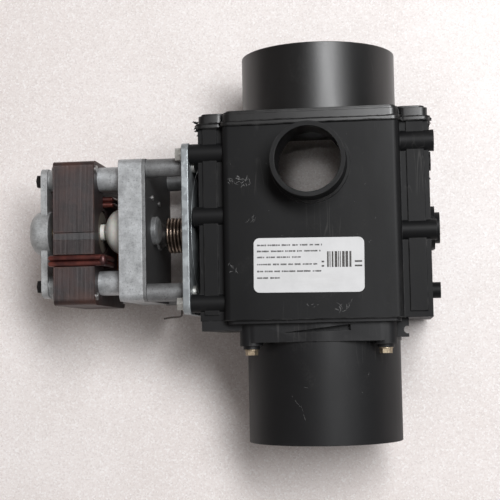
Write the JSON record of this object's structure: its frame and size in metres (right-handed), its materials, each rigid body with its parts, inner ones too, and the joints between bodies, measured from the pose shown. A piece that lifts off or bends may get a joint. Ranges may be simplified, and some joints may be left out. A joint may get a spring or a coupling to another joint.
{
  "type": "motorised drain valve",
  "caption": "Motor-driven ball-segment drain valve: square plastic body, in-line hose spigots, a side overflow spigot, and a geared spring-return actuator.",
  "frame": {"origin": "centre of the inlet spigot's mouth, on the flow axis", "axes": "+Y along the flow from inlet to outlet, +X away from the actuator, +Z out of the labelled face with the overflow spigot"},
  "size_m": [0.2384, 0.2228, 0.118],
  "materials": {
    "housing_plastic": "satin moulded black",
    "seal_rubber": "matte",
    "segment_plastic": "smooth",
    "bushing_plastic": "smooth",
    "shaft_steel": "ground",
    "brass_plated": "dull plated",
    "label_white": "paper",
    "galvanised_steel": "zinc plated",
    "bolt_steel": "zinc plated",
    "cast_zinc": "as cast",
    "white_nylon": "smooth",
    "sintered_brass": "satin",
    "spring_steel": "oiled",
    "lamination_iron": "lacquered with rust bloom",
    "shading_copper": "lacquered copper",
    "bobbin_nylon": "smooth",
    "winding_copper": "enamelled",
    "rotor_iron": "turned",
    "black_oxide": "black oxide"
  },
  "bodies": {
    "valve_frame": {"valve_body": "housing_plastic", "outlet_cap": "housing_plastic", "inlet_adapter": "housing_plastic", "adapter_seal": "seal_rubber", "stem_seal": "seal_rubber", "valve_seat": "seal_rubber", "stem_bushing": "bushing_plastic", "idler_axle_a": "shaft_steel", "idler_axle_b": "shaft_steel", "stack_rivets": "shaft_steel", "adapter_screws": "brass_plated", "label_plate": "label_white", "backing_disc": "galvanised_steel", "mounting_plate": "galvanised_steel", "plate_bolts": "bolt_steel", "cover_screws": "bolt_steel", "gear_case": "cast_zinc", "gear_cover": "cast_zinc", "bearing_bracket": "cast_zinc", "nylon_bearing_cap": "white_nylon", "output_bushing": "sintered_brass", "rear_bush": "sintered_brass", "return_spring": "spring_steel", "retaining_wire": "spring_steel", "lamination_stack": "lamination_iron", "shading_rings": "shading_copper", "coil_bobbin": "bobbin_nylon", "coil_winding": "winding_copper", "motor_screws": "black_oxide"},
    "closing_segment": {"ball_segment": "segment_plastic", "trunnion_pin": "shaft_steel", "output_shaft": "shaft_steel", "output_gear": "sintered_brass", "spring_hub": "galvanised_steel"},
    "idler_pair_b": {"idler_gear_b": "white_nylon"},
    "idler_pair_a": {"idler_gear_a": "white_nylon"},
    "motor_rotor": {"rotor_core": "rotor_iron", "rotor_shaft": "shaft_steel", "motor_pinion": "white_nylon", "shaft_collar": "white_nylon"}
  },
  "joints": [
    {"name": "segment_turn", "type": "hinge", "parent": "valve_frame", "child": "closing_segment", "pos_m": [-0.05, 0.121, 0], "axis": [1, 0, 0], "range_deg": [0, 90]},
    {"name": "idler_b_turn", "type": "hinge", "parent": "valve_frame", "child": "idler_pair_b", "pos_m": [-0.1, 0.14017, -0.001], "axis": [1, 0, 0], "range_deg": [-271, 1]},
    {"name": "idler_a_turn", "type": "hinge", "parent": "valve_frame", "child": "idler_pair_a", "pos_m": [-0.105, 0.14178, 0.01813], "axis": [1, 0, 0], "range_deg": [-1, 811]},
    {"name": "rotor_turn", "type": "hinge", "parent": "valve_frame", "child": "motor_rotor", "pos_m": [-0.13, 0.1227, 0.016], "axis": [1, 0, 0], "range_deg": [-2431, 1]}
  ],
  "couplings": [
    {"joint": "idler_b_turn", "follows": "segment_turn", "ratio": -3},
    {"joint": "idler_a_turn", "follows": "segment_turn", "ratio": 9},
    {"joint": "rotor_turn", "follows": "segment_turn", "ratio": -27}
  ]
}
